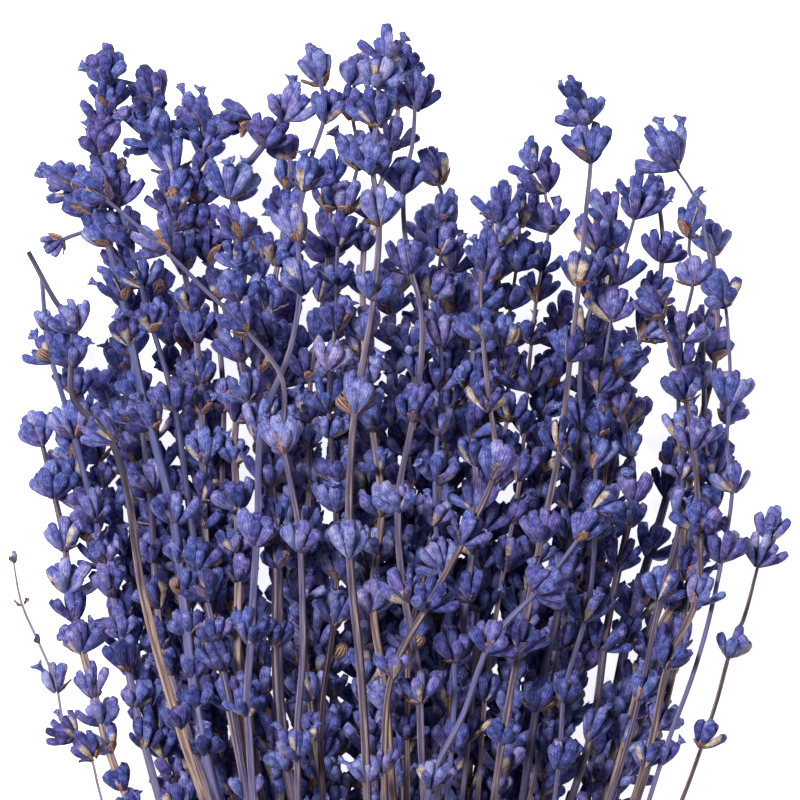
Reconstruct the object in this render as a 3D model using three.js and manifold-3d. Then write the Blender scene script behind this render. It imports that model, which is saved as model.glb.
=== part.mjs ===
// A bunch of dried lavender, lying on its side and tied with twine.
// Millimetres. +Y runs along the stems from the tie to the tips, +Z is up, the surface is z = 0.
import * as THREE from 'three';
import { mergeVertices } from 'three/addons/utils/BufferGeometryUtils.js';
import Module from 'manifold-3d';

const wasm = await Module();
wasm.setup();

// ---- driving dimensions ----
const MM_PER_PHOTO_PIXEL = 0.25;
const PHOTO_CENTRE_PIXEL = 400;
const PHOTO_TOP_Y = 380;

const LAYERS = 10;
const STEMS_IN_LAYER = [4, 6, 8, 8, 10, 10, 8, 8, 6, 4];
const LAYER_PITCH = 1.98;
const PAIR_PITCH = 3.9;
const PAIR_SPACING = 1.28;

const STEM_HALF_WIDTHS = [0.8, 0.68];
const TIP_HALF_WIDTH = 0.42;
const TAPER_START_Y = 190;
const CUT_END_Y = -44;
const CUT_END_SCATTER = 9;
const CUT_END_SPLAY = 0.1;
const SPLAY_LENGTH = 40;
const TIE_HALF_LENGTH = 7;
const BEND_Y = 36;
const SPREAD_POWER = 1.25;

const FAN_START_Y = 185;
const FAN_END_Y = 380;
const FAN_HEIGHT = 70;
const FAN_HALF_WIDTH = 100;
const FAN_HEIGHT_GROWTH = [0.8, 1];
const DOME_DROP = 0.5;
const LOWEST_STEM_Z = 5.6;

const WHORL_RADIUS = 6.8;
const WHORL_ROOT = -3;
const WHORL_SADDLE = -0.4;
const WHORL_VALLEY_HEIGHT = 0.9;
const WHORL_VALLEY_RADIUS = 3.1;
const WHORL_TIP_HEIGHT = 4.6;
const TOP_CALYX_HEIGHT = 6.2;
const WHORL_TURN = Math.PI / 4;
const WHORL_TURN_SCATTER = [0.8, 1.2];
const LOWER_WHORL_GAP = [22, 30];
const LOWER_WHORL_SHARE = 0.25;
const LOWER_WHORL_SIZE = 0.8;

const HIDDEN_STAGGER = 0.5;
const HIDDEN_BOW = 5;
const HIDDEN_REACH = [88, 93];
const HIDDEN_TIP_SCATTER_X = 8;
const HIDDEN_TIP_Y = 336;
const HIDDEN_TIP_SCATTER_Y = 46;
const HIDDEN_SIDE_DROP = 34;
const HIDDEN_WHORL_GAPS = [15, 18, 22, 26];
const HIDDEN_GAP_SCATTER = [0.85, 1.2];
const HIDDEN_WHORL_SIZE = [0.88, 1.12];

const CLEARANCE = 0.35;
const WHORL_SIZES = [1, 0.8, 0.6, 0.4];
const CALYX_REACHES = [1, 0.85, 0.7, 0.55, 0.4, 0.25, 0.1];
const CALYX_ROOT_SHARE = 0.4;
const BENT_TIP_SHARE = 0.5;
const BENT_VALLEY_SHARE = 0.45;
const WHORL_CORE_RADIUS = 1.8;
const CALYX_ROOT_RADII = [1.1, 2.5];
const CALYX_TIP_RADIUS = 0.3;
const VALLEY_ROOT_RADIUS = 1.2;
const VALLEY_END_RADIUS = 0.6;

const TWINE_DIAMETER = 2.4;
const TWINE_TURNS = 5;
const TWINE_CREST = 1;
const TIE_INNER_RADIUS = 10.8;
const TIE_SIDES = 18;
const KNOT_HALF_SIZES = [4.6, 3.6, 2.4];
const TWINE_END_COURSE = [[1, 0, 0.6], [5, 2, 1.6], [8.5, 4.5, 0.1], [11, 6, -2.4]];

const LAVENDER = { color: 0x3f3f8e, roughness: 0.85, metalness: 0 };
const TWINE = { color: 0xa88a5c, roughness: 0.9, metalness: 0 };

// ---- the stems that the photo shows, tip first ----
// Each point is [across, down, size] in photo pixels: a whorl of that size, or bare stem where it is 0.
const SEEN_STEMS = {
  9: [
    [[92, 188, 1.1], [158, 245, 1.1], [200, 285, 0], [242, 324, 1], [286, 380, 0], [284, 440, 1.1],
      [300, 540, 0.9], [306, 640, 0], [296, 745, 1]],
    [[388, 45, 1], [381, 80, 1], [380, 118, 1.1], [374, 165, 1], [380, 214, 1.1], [374, 290, 1],
      [356, 400, 1.1], [352, 450, 0], [352, 543, 1.1], [360, 660, 0], [365, 770, 0.8]],
    [[484, 250, 1], [480, 290, 0], [483, 330, 1], [490, 400, 1], [494, 466, 1.1], [464, 533, 1],
      [430, 598, 1], [396, 665, 0.9], [386, 760, 0.8]],
    [[604, 497, 1], [584, 530, 1], [543, 584, 1], [490, 640, 1], [461, 711, 0], [432, 775, 0.9]],
  ],
  8: [
    [[28, 252, 0], [64, 311, 0], [74, 321, 1], [74, 356, 1], [75, 400, 0], [108, 433, 1.1], [143, 594, 0],
      [180, 720, 0.8]],
    [[314, 66, 1.1], [324, 114, 1], [311, 163, 0], [308, 180, 1.1], [300, 230, 1.1], [303, 283, 1.1],
      [290, 350, 0], [262, 420, 1], [260, 533, 1.15], [252, 632, 1], [246, 705, 0.9]],
    [[413, 90, 1.1], [411, 150, 0], [405, 185, 1], [410, 262, 1.1], [420, 310, 0], [414, 410, 1.1],
      [400, 500, 1], [402, 590, 1], [420, 690, 1]],
    [[568, 90, 0.6], [579, 116, 1], [587, 150, 1], [584, 210, 0], [580, 275, 1], [572, 350, 1],
      [560, 440, 1], [540, 530, 1], [520, 640, 1]],
    [[645, 301, 1], [665, 340, 0], [681, 390, 1.1], [692, 440, 1], [700, 520, 1], [698, 596, 1],
      [668, 658, 1], [645, 757, 0.8]],
    [[670, 143, 1.25], [693, 198, 0], [711, 275, 0], [721, 295, 1.1], [729, 345, 0], [732, 393, 1.1],
      [728, 450, 0], [732, 482, 0.9], [721, 551, 1], [696, 668, 0], [664, 755, 0.8]],
  ],
  7: [
    [[55, 174, 1.1], [76, 195, 0], [104, 236, 1], [122, 290, 1], [150, 420, 1], [171, 512, 1.1],
      [190, 640, 0], [206, 745, 0.8]],
    [[105, 61, 1.1], [108, 98, 1], [100, 130, 1], [108, 170, 0.9], [130, 235, 1], [150, 320, 1],
      [172, 400, 1], [200, 560, 1], [220, 660, 1]],
    [[291, 102, 1], [262, 150, 0], [237, 186, 1.2], [240, 228, 1], [236, 290, 1], [238, 350, 1.1],
      [270, 474, 1.1], [276, 560, 0], [276, 637, 0.9], [288, 760, 0.8]],
    [[357, 69, 0.9], [350, 110, 1], [357, 158, 1.1], [340, 235, 1], [338, 320, 1], [330, 400, 1],
      [334, 500, 1], [334, 612, 1], [323, 727, 1]],
    [[448, 204, 0.8], [442, 245, 1], [436, 290, 1], [440, 380, 1], [436, 470, 1], [440, 560, 1],
      [452, 650, 1], [450, 740, 0.9]],
    [[637, 182, 1], [634, 208, 1], [620, 260, 0], [612, 310, 1], [596, 456, 1], [586, 610, 1],
      [566, 690, 1], [560, 757, 1]],
    [[691, 214, 1.1], [687, 250, 0], [693, 275, 0.9], [684, 330, 1], [678, 430, 1], [680, 510, 1.1],
      [664, 590, 1], [640, 690, 0.9]],
    [[776, 522, 0.9], [764, 556, 1], [745, 620, 0], [732, 648, 0.9], [716, 700, 0], [703, 738, 0.9],
      [681, 800, 0]],
  ],
  6: [
    [[9, 556, 0.35], [19, 603, 0.3], [37, 641, 0.3], [56, 683, 0.9], [68, 734, 0.9], [88, 752, 0.9],
      [100, 800, 0]],
    [[115, 80, 0], [150, 92, 1.1], [146, 124, 1.1], [168, 150, 1.1], [176, 205, 1], [184, 262, 1],
      [194, 330, 1], [203, 450, 1.2], [212, 602, 1], [226, 700, 1]],
    [[230, 122, 1], [266, 124, 0], [290, 150, 0.9], [288, 210, 1], [270, 300, 1], [262, 360, 1],
      [240, 410, 1], [238, 500, 1], [240, 690, 0.9]],
    [[401, 60, 0.9], [392, 140, 1], [366, 240, 1], [366, 330, 1], [372, 420, 1], [380, 505, 1],
      [372, 600, 1], [388, 700, 1]],
    [[505, 200, 1.1], [500, 236, 1], [478, 300, 1], [470, 380, 1], [478, 500, 1], [468, 590, 1],
      [448, 700, 1]],
    [[585, 230, 1], [600, 268, 1], [586, 330, 1], [580, 420, 1], [570, 500, 1], [560, 600, 1],
      [540, 700, 1]],
    [[655, 190, 0.9], [662, 250, 1], [650, 330, 1], [622, 365, 1.1], [632, 490, 1.1], [622, 560, 1],
      [606, 640, 1], [590, 730, 1]],
    [[700, 316, 0], [703, 378, 0.8], [708, 470, 1], [716, 500, 0.8], [694, 570, 1], [680, 640, 1],
      [660, 720, 0.9]],
  ],
  5: [
    [[33, 425, 1], [50, 487, 1], [64, 540, 1], [72, 612, 1], [89, 688, 1], [104, 745, 0.9]],
    [[38, 278, 0], [43, 337, 0], [46, 352, 1], [70, 425, 1.1], [94, 512, 1], [110, 586, 1], [124, 660, 1],
      [140, 740, 0.9]],
    [[43, 247, 0], [92, 232, 0], [122, 262, 1], [132, 345, 1], [136, 390, 1], [146, 480, 1],
      [162, 640, 1], [182, 709, 1]],
    [[189, 102, 0.6], [205, 132, 1.1], [200, 180, 1], [210, 250, 1.1], [216, 330, 1], [222, 400, 1],
      [224, 520, 1], [230, 600, 1]],
    [[330, 165, 1], [332, 200, 1], [322, 290, 1], [312, 370, 1], [310, 480, 1], [300, 590, 1],
      [310, 690, 1]],
    [[430, 165, 1], [440, 190, 0], [456, 260, 1], [452, 330, 1], [446, 430, 1], [432, 520, 1],
      [410, 640, 1]],
    [[522, 205, 1], [516, 260, 1], [505, 340, 1], [508, 410, 1], [488, 520, 1], [478, 600, 1],
      [468, 730, 1]],
    [[530, 153, 0.9], [540, 182, 1], [547, 222, 1], [538, 290, 1], [530, 380, 1], [520, 470, 1],
      [504, 560, 1], [488, 690, 1]],
    [[600, 205, 1], [612, 240, 1], [600, 380, 1], [606, 440, 1], [596, 530, 1], [560, 640, 1]],
    [[712, 235, 0.9], [716, 350, 0.9], [700, 430, 1], [690, 500, 1], [676, 600, 1], [650, 650, 1],
      [625, 740, 1]],
  ],
};

// ---- small helpers ----

// a seeded random number maker, so that the bunch comes out alike each time
function randomMaker(seed) {
  let state = (seed * 7919 + 12345) % 4294967296;
  const draw = () => {
    state = (state * 1664525 + 1013904223) % 4294967296;
    return state / 4294967296;
  };
  for (let i = 0; i < 4; i += 1) draw();
  return draw;
}

function mix(a, b, t) {
  return a + (b - a) * t;
}

function clamp01(t) {
  return Math.min(1, Math.max(0, t));
}

// ---- where the stems run ----

const TIE_OUTER_RADIUS = TIE_INNER_RADIUS + TWINE_DIAMETER;
const TIE_CENTRE_Z = TIE_OUTER_RADIUS * Math.cos(Math.PI / TIE_SIDES);

// height of one layer of stems: packed tight in the tie, domed and spread out in the fan
function layerZ(layer, x, y) {
  const packed = TIE_CENTRE_Z + (layer - (LAYERS - 1) / 2) * LAYER_PITCH;
  if (y <= TIE_HALF_LENGTH) {
    const splay = CUT_END_SPLAY * clamp01((-TIE_HALF_LENGTH - y) / SPLAY_LENGTH) ** 2;
    return packed + (packed - TIE_CENTRE_Z) * splay;
  }
  const dome = 1 - DOME_DROP * (x / FAN_HALF_WIDTH) ** 2;
  const growth = mix(...FAN_HEIGHT_GROWTH, clamp01((y - FAN_START_Y) / (FAN_END_Y - FAN_START_Y)));
  const fanned = LOWEST_STEM_Z + (layer / (LAYERS - 1)) * FAN_HEIGHT * growth * dome;
  const spread = clamp01((y - TIE_HALF_LENGTH) / (FAN_START_Y - TIE_HALF_LENGTH)) ** SPREAD_POWER;
  return mix(packed, fanned, spread);
}

// place of a stem in its layer inside the tie: neighbours are pressed together in pairs
function packedX(layer, place) {
  const pairs = STEMS_IN_LAYER[layer] / 2;
  const pair = Math.floor(place / 2);
  const side = place % 2 === 0 ? -0.5 : 0.5;
  return (pair - (pairs - 1) / 2) * PAIR_PITCH + side * PAIR_SPACING;
}

// the course of one stem in its layer, as points [x, y, size] from the tie up
function seenCourse(photoPoints) {
  return photoPoints.map(([across, down, size]) => [
    (across - PHOTO_CENTRE_PIXEL) * MM_PER_PHOTO_PIXEL,
    PHOTO_TOP_Y - down * MM_PER_PHOTO_PIXEL,
    size,
  ]).reverse();
}

// a stem behind the ones that the photo shows: it fans out evenly and carries whorls by a rule
function hiddenCourse(layer, place, random) {
  const count = STEMS_IN_LAYER[layer];
  const stagger = (layer % 2 - 0.5) * HIDDEN_STAGGER;
  const slot = (place + 0.5 + stagger) / count * 2 - 1;
  const bow = (random() - 0.5) * HIDDEN_BOW;
  const tipX = slot * mix(...HIDDEN_REACH, random()) + (random() - 0.5) * HIDDEN_TIP_SCATTER_X;
  const tipY = HIDDEN_TIP_Y - HIDDEN_SIDE_DROP * slot ** 2 - HIDDEN_TIP_SCATTER_Y * random();
  const course = [];
  let y = tipY;
  for (const gap of [0, ...HIDDEN_WHORL_GAPS]) {
    y -= gap * mix(...HIDDEN_GAP_SCATTER, random());
    const part = (y - TIE_HALF_LENGTH) / (tipY - TIE_HALF_LENGTH);
    const x = tipX * part + bow * Math.sin(Math.PI * part);
    course.push([x, y, mix(...HIDDEN_WHORL_SIZE, random())]);
  }
  return course.reverse();
}

// the points of one whole stem from its cut end to its tip
function stemPoints(layer, place, course, random) {
  const inTie = packedX(layer, place);
  const cutY = CUT_END_Y - CUT_END_SCATTER * random();
  const points = [
    { x: inTie * (1 + CUT_END_SPLAY), y: cutY, size: 0 },
    { x: inTie, y: -TIE_HALF_LENGTH, size: 0 },
    { x: inTie, y: TIE_HALF_LENGTH, size: 0 },
  ];
  const [firstX, firstY] = course[0];
  const between = (y, size) => {
    const part = ((y - TIE_HALF_LENGTH) / (firstY - TIE_HALF_LENGTH)) ** SPREAD_POWER;
    points.push({ x: mix(inTie, firstX, part), y, size });
  };
  between(BEND_Y, 0);
  const lowerY = firstY - mix(...LOWER_WHORL_GAP, random());
  if (random() < LOWER_WHORL_SHARE) between(lowerY, LOWER_WHORL_SIZE);
  for (const [x, y, size] of course) points.push({ x, y, size });
  return points.map((p) => ({ ...p, z: layerZ(layer, p.x, p.y) }));
}

// ---- one stem with its whorls, as a closed mesh ----

// direction of the stem at point i, with two directions across it
function frameAt(points, i) {
  const before = points[Math.max(0, i - 1)];
  const after = points[Math.min(points.length - 1, i + 1)];
  const along = new THREE.Vector3(after.x - before.x, after.y - before.y, after.z - before.z).normalize();
  const side = new THREE.Vector3().crossVectors(along, new THREE.Vector3(0, 0, 1)).normalize();
  const up = new THREE.Vector3().crossVectors(side, along);
  return { along, side, up };
}

function placeAt(point, frame, radius, angle, height) {
  return new THREE.Vector3(point.x, point.y, point.z)
    .addScaledVector(frame.along, height)
    .addScaledVector(frame.side, radius * Math.cos(angle))
    .addScaledVector(frame.up, radius * Math.sin(angle));
}

// from the middle of a square stem to its corners
function cornerRadiusAt(stem, y) {
  const tipY = stem.points.at(-1).y;
  const part = clamp01((y - TAPER_START_Y) / Math.max(1, tipY - TAPER_START_Y));
  return mix(STEM_HALF_WIDTHS[stem.place % 2], TIP_HALF_WIDTH, part) * Math.SQRT2;
}

// the four calyx tips of a whorl, before anything stands in their way
function whorlTips(stem, i) {
  const point = stem.points[i];
  const frame = frameAt(stem.points, i);
  return [0, 1, 2, 3].map((k) => {
    const angle = stem.turns[i] + Math.PI / 4 + k * Math.PI / 2;
    const reach = point.reach[k];
    const tip = placeAt(point, frame, WHORL_RADIUS * point.size * reach, angle,
      WHORL_TIP_HEIGHT * point.size * mix(BENT_TIP_SHARE, 1, reach));
    tip.z = Math.max(0, tip.z);
    return tip;
  });
}

// the low point between calyx k and the next one: it draws in with them
function whorlValley(stem, i, k, reach) {
  const point = stem.points[i];
  const radius = WHORL_VALLEY_RADIUS * point.size * mix(BENT_VALLEY_SHARE, 1, reach);
  return placeAt(point, frameAt(stem.points, i), radius, stem.turns[i] + (k + 1) * Math.PI / 2,
    WHORL_VALLEY_HEIGHT * point.size);
}

function stemGeometry(stem) {
  const { points, turns } = stem;
  const vertices = [];
  const triangles = [];
  const add = (v) => vertices.push(v) - 1;
  const ring = (i, height) => {
    const frame = frameAt(points, i);
    const radius = cornerRadiusAt(stem, points[i].y);
    return [0, 1, 2, 3].map((k) => add(
      placeAt(points[i], frame, radius, turns[i] + Math.PI / 4 + k * Math.PI / 2, height)));
  };
  const wall = (a, b) => {
    for (let k = 0; k < 4; k += 1) {
      const n = (k + 1) % 4;
      triangles.push([a[k], b[k], b[n]], [a[k], b[n], a[n]]);
    }
  };
  let last = ring(0, 0);
  triangles.push([last[0], last[1], last[2]], [last[0], last[2], last[3]]);
  for (let i = 1; i < points.length; i += 1) {
    const point = points[i];
    const isTip = i === points.length - 1;
    if (point.size === 0) {
      const next = ring(i, 0);
      wall(last, next);
      last = next;
      if (isTip) triangles.push([last[0], last[2], last[1]], [last[0], last[3], last[2]]);
      continue;
    }
    const frame = frameAt(points, i);
    const root = ring(i, WHORL_ROOT * point.size);
    wall(last, root);
    const tips = whorlTips(stem, i).map(add);
    const valleys = [0, 1, 2, 3].map((k) => add(
      whorlValley(stem, i, k, Math.min(point.reach[k], point.reach[(k + 1) % 4]))));
    const top = () => add(placeAt(point, frame, 0, 0, TOP_CALYX_HEIGHT * point.size));
    const saddle = isTip ? [0, 0, 0, 0].fill(top()) : ring(i, WHORL_SADDLE * point.size);
    for (let k = 0; k < 4; k += 1) {
      const n = (k + 1) % 4;
      const p = (k + 3) % 4;
      triangles.push([root[k], valleys[p], tips[k]], [root[k], tips[k], valleys[k]]);
      triangles.push([root[k], valleys[k], root[n]]);
      triangles.push([saddle[k], tips[k], valleys[p]], [saddle[k], valleys[k], tips[k]]);
      if (!isTip) triangles.push([saddle[k], saddle[n], valleys[k]]);
    }
    last = saddle;
  }
  return closedGeometry(vertices, triangles);
}

function closedGeometry(vertices, triangles) {
  const geometry = new THREE.BufferGeometry();
  const numbers = vertices.flatMap((v) => [v.x, v.y, v.z]);
  geometry.setAttribute('position', new THREE.Float32BufferAttribute(numbers, 3));
  geometry.setIndex(triangles.flat());
  return geometry;
}

// ---- room between neighbours ----

// nearest distance of two tapering rods, each { a, b, thick, thin } with its radius at a and at b
function rodGap(p, q) {
  const u = p.b.clone().sub(p.a);
  const v = q.b.clone().sub(q.a);
  const w = p.a.clone().sub(q.a);
  const [uu, uv, vv, uw, vw] = [u.dot(u), u.dot(v), v.dot(v), u.dot(w), v.dot(w)];
  const across = uu * vv - uv * uv;
  const start = across > 1e-9 ? clamp01((uv * vw - vv * uw) / across) : 0;
  const t = clamp01((uv * start + vw) / vv);
  const s = clamp01((uv * t - uw) / uu);
  const gap = w.addScaledVector(u, s).addScaledVector(v, -t).length();
  return gap - mix(p.thick, p.thin, s) - mix(q.thick, q.thin, t);
}

function makeRod(a, b, thick, thin, pair) {
  const middle = a.clone().add(b).multiplyScalar(0.5);
  return { a, b, thick, thin, pair, middle, half: a.distanceTo(b) / 2 + thick };
}

function isClear(rod, others) {
  return others.every((other) => other.pair === rod.pair
    || rod.middle.distanceTo(other.middle) > rod.half + other.half + CLEARANCE
    || rodGap(rod, other) > CLEARANCE);
}

// the bare stalk of a stem, as rods from point to point
function stalkRods(stem) {
  const places = stem.points.map((p) => new THREE.Vector3(p.x, p.y, p.z));
  const radii = stem.points.map((p) => cornerRadiusAt(stem, p.y));
  return places.slice(1).map((place, i) => makeRod(places[i], place, radii[i], radii[i + 1], stem.pair));
}

// the middle of a whorl of the given size, as a rod
function coreRod(stem, i, size) {
  const frame = frameAt(stem.points, i);
  const low = placeAt(stem.points[i], frame, 0, 0, WHORL_ROOT * size);
  const high = placeAt(stem.points[i], frame, 0, 0, WHORL_TIP_HEIGHT / 2 * size);
  return makeRod(low, high, WHORL_CORE_RADIUS * size, WHORL_CORE_RADIUS * size, stem.pair);
}

// calyx k of a whorl at the given reach, with the low points beside it, as rods
function calyxRods(stem, i, k, reach) {
  const point = stem.points[i];
  point.reach[k] = reach;
  const root = placeAt(point, frameAt(stem.points, i), 0, 0, WHORL_ROOT * CALYX_ROOT_SHARE * point.size);
  const thick = mix(...CALYX_ROOT_RADII, reach) * point.size;
  const calyx = makeRod(root, whorlTips(stem, i)[k], thick, CALYX_TIP_RADIUS, stem.pair);
  const valleys = [k, (k + 3) % 4].map((v) => whorlValley(stem, i, v, reach));
  const beside = valleys.map((valley) => makeRod(root, valley, VALLEY_ROOT_RADIUS * point.size,
    VALLEY_END_RADIUS, stem.pair));
  return [calyx, ...beside];
}

// calyces that would cross another stem's are bent in until they are clear
function makeRoom(stems) {
  const taken = stems.flatMap(stalkRods);
  const areClear = (rods) => rods.every((rod) => isClear(rod, taken));
  for (const stem of [...stems].reverse()) {
    for (let i = stem.points.length - 1; i > 0; i -= 1) {
      const point = stem.points[i];
      if (point.size === 0) continue;
      const sizes = WHORL_SIZES.map((share) => share * point.size);
      point.size = sizes.find((size) => areClear([coreRod(stem, i, size)])) ?? sizes.at(-1);
      for (let k = 0; k < 4; k += 1) {
        const fitting = CALYX_REACHES.find((reach) => areClear(calyxRods(stem, i, k, reach)));
        taken.push(...calyxRods(stem, i, k, fitting ?? CALYX_REACHES.at(-1)));
      }
    }
  }
}

// ---- solids ----

function toSolid(geometry) {
  const bare = geometry.clone();
  bare.deleteAttribute('normal');
  bare.deleteAttribute('uv');
  const merged = mergeVertices(bare, 1e-4);
  return new wasm.Manifold(new wasm.Mesh({
    numProp: 3,
    vertProperties: new Float32Array(merged.getAttribute('position').array),
    triVerts: new Uint32Array(merged.getIndex().array),
  }));
}

function toGeometry(solid) {
  const { vertProperties, triVerts } = solid.getMesh();
  const geometry = new THREE.BufferGeometry();
  geometry.setAttribute('position', new THREE.BufferAttribute(new Float32Array(vertProperties), 3));
  geometry.setIndex(new THREE.BufferAttribute(new Uint32Array(triVerts), 1));
  geometry.computeVertexNormals();
  return geometry;
}

// ---- the bunch ----

function makeStems() {
  const stems = [];
  for (let layer = 0; layer < LAYERS; layer += 1) {
    for (let place = 0; place < STEMS_IN_LAYER[layer]; place += 1) {
      const random = randomMaker(layer * 20 + place + 1);
      const seen = SEEN_STEMS[layer];
      const course = seen ? seenCourse(seen[place]) : hiddenCourse(layer, place, random);
      const points = stemPoints(layer, place, course, random);
      let turn = 0;
      const turns = points.map((p) => {
        if (p.size > 0) turn += WHORL_TURN * mix(...WHORL_TURN_SCATTER, random());
        return turn;
      });
      points.forEach((p) => { p.reach = [1, 1, 1, 1]; });
      stems.push({ layer, place, points, turns, pair: stems.length >> 1 });
    }
  }
  return stems;
}

// ---- the tie ----

// turns of twine side by side, each with a narrow flat crest, so that the lowest one rests flat
function turnsGeometry() {
  const half = TWINE_TURNS * TWINE_DIAMETER / 2;
  const groove = TIE_OUTER_RADIUS - TWINE_DIAMETER / 2;
  const profile = [[TIE_INNER_RADIUS, half], [TIE_INNER_RADIUS, -half]];
  for (let turn = 0; turn < TWINE_TURNS; turn += 1) {
    const start = -half + turn * TWINE_DIAMETER;
    const middle = start + TWINE_DIAMETER / 2;
    profile.push([groove, start]);
    profile.push([TIE_OUTER_RADIUS, middle - TWINE_CREST / 2]);
    profile.push([TIE_OUTER_RADIUS, middle + TWINE_CREST / 2]);
  }
  profile.push([groove, half], profile[0]);
  const points = profile.map(([radius, y]) => new THREE.Vector2(radius, y));
  return new THREE.LatheGeometry(points, TIE_SIDES, Math.PI / TIE_SIDES);
}

// a short end of the twine that leaves the knot to one side
function twineEndGeometry(side) {
  const places = TWINE_END_COURSE.map(([x, y, z]) => new THREE.Vector3(side * x, side * y, z));
  const course = new THREE.CatmullRomCurve3(places);
  const outline = new THREE.EllipseCurve(0, 0, TWINE_DIAMETER / 2, TWINE_DIAMETER / 2).getPoints(6);
  const section = new THREE.Shape(outline.slice(0, 6));
  return new THREE.ExtrudeGeometry(section, { steps: 5, bevelEnabled: false, extrudePath: course });
}

function tieSolid() {
  const top = TIE_CENTRE_Z + TIE_OUTER_RADIUS;
  const ring = turnsGeometry().translate(0, 0, TIE_CENTRE_Z);
  const knot = new THREE.IcosahedronGeometry(1, 1).scale(...KNOT_HALF_SIZES).translate(0, 0, top);
  const ends = [-1, 1].map((side) => twineEndGeometry(side).translate(0, 0, top));
  return [knot, ...ends].reduce((solid, piece) => solid.add(toSolid(piece)), toSolid(ring));
}

const stems = makeStems();
makeRoom(stems);
const bunch = new THREE.Group();
bunch.name = 'lavender_bunch';
for (let i = 0; i < stems.length; i += 2) {
  const pair = toSolid(stemGeometry(stems[i])).add(toSolid(stemGeometry(stems[i + 1])));
  const mesh = new THREE.Mesh(toGeometry(pair), new THREE.MeshStandardMaterial(LAVENDER));
  mesh.name = `sprigs_${String(i / 2 + 1).padStart(2, '0')}`;
  bunch.add(mesh);
}

const tie = new THREE.Mesh(toGeometry(tieSolid()), new THREE.MeshStandardMaterial(TWINE));
tie.name = 'twine_tie';
bunch.add(tie);

export default bunch;
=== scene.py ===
import math

import bpy
import numpy as np
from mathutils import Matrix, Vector


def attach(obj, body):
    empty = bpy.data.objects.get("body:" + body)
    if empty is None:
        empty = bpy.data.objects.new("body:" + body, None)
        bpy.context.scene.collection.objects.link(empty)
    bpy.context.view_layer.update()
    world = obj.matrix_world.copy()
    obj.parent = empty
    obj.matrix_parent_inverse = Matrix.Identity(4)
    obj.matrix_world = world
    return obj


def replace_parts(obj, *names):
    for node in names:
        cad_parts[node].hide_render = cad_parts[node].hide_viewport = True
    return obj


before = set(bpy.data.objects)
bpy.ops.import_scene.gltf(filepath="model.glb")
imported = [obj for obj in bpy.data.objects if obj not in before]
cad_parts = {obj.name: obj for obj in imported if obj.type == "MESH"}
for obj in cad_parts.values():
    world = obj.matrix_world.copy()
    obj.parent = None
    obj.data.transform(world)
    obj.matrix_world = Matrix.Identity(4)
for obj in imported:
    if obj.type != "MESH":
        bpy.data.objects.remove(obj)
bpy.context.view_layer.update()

# ---------------------------------------------------------------- the view and the light
# The bunch lies on a pale table and is looked down on, with the tips at the top of the picture.
# A long lens from far off keeps the depth of the bunch from spreading it, as in the photograph.
MM = 0.001
PHOTO_WIDTH = 200 * MM
PHOTO_MIDDLE = Vector((0, 280 * MM, 40 * MM))
CAMERA_DISTANCE = 2.5
SENSOR_WIDTH = 36
FARTHEST_SEEN = 20
ROOM_LIGHT = 0.055

camera = bpy.data.objects.new("photo_view", bpy.data.cameras.new("photo_view"))
camera.location = PHOTO_MIDDLE + Vector((0, 0, CAMERA_DISTANCE))
camera.data.sensor_width = SENSOR_WIDTH
camera.data.lens = SENSOR_WIDTH * CAMERA_DISTANCE / PHOTO_WIDTH
camera.data.clip_end = FARTHEST_SEEN
bpy.context.collection.objects.link(camera)
bpy.context.scene.camera = camera
bpy.context.scene.view_settings.view_transform = "Standard"


def linear(hex_colour):
    """A colour given as sRGB hex, as the linear values that the shader works in."""
    parts = [int(hex_colour[i:i + 2], 16) / 255 for i in (0, 2, 4)]
    return [p / 12.92 if p <= 0.04045 else ((p + 0.055) / 1.055) ** 2.4 for p in parts] + [1.0]


def soft_light(name, place, width, power):
    lamp = bpy.data.objects.new(name, bpy.data.lights.new(name, "AREA"))
    lamp.data.size = width
    lamp.data.energy = power
    lamp.location = place
    lamp.rotation_euler = (PHOTO_MIDDLE - Vector(place)).to_track_quat("-Z", "Y").to_euler()
    bpy.context.collection.objects.link(lamp)


soft_light("lamp_beside_camera", place=(-0.95, 0.95, 1.9), width=0.55, power=58)
soft_light("fill_from_right", place=(0.9, 0.1, 1.7), width=0.9, power=7)
world = bpy.data.worlds.new("pale_room")
world.use_nodes = True
world.node_tree.nodes["Background"].inputs["Color"].default_value = linear("FFFFFF")
world.node_tree.nodes["Background"].inputs["Strength"].default_value = ROOM_LIGHT
bpy.context.scene.world = world


def add_node(tree, kind, settings=None, **links):
    """A shader node. Settings are its own options or values of its inputs; links feed its inputs."""
    node = tree.nodes.new("ShaderNode" + kind)
    for key, value in (settings or {}).items():
        if hasattr(node, key):
            setattr(node, key, value)
        else:
            node.inputs[int(key) if key.isdigit() else key].default_value = value
    for key, source in links.items():
        name = key.strip("_")
        socket = node.inputs[int(name)] if name.isdigit() else node.inputs[name]
        tree.links.new(source, socket)
    return node


def colours_along(tree, value, stops):
    """A colour for each value from 0 to 1, blended between (place, sRGB hex) stops."""
    ramp = add_node(tree, "ValToRGB", Fac=value).color_ramp
    while len(ramp.elements) < len(stops):
        ramp.elements.new(0.5)
    for element, (place, hex_colour) in zip(ramp.elements, stops):
        element.position = place
        element.color = linear(hex_colour)
    return tree.nodes[-1].outputs["Color"]


def blend_colours(tree, share, first, second):
    mixed = add_node(tree, "Mix", {"data_type": "RGBA"}, _0=share, _6=first, _7=second)
    return mixed.outputs[2]


def new_material(name, **values):
    material = bpy.data.materials.new(name)
    material.use_nodes = True
    shader = material.node_tree.nodes["Principled BSDF"]
    for key, value in values.items():
        shader.inputs[key.replace("_", " ")].default_value = value
    return material, material.node_tree, shader


# The table is matte laminate in off-white, plain, so that only the bunch draws the eye.
# It glows softly by its own emission, painted light with no lamp behind it, as a light table looks, so the
# gaps among the stems look pale, not grey; the glow also lights the bunch from below.
TABLE_SIZE = 14
TABLE_GLOW = 0.85

# Painted light: the laminate's emission makes the table glow, though it holds no lamp.
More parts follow.
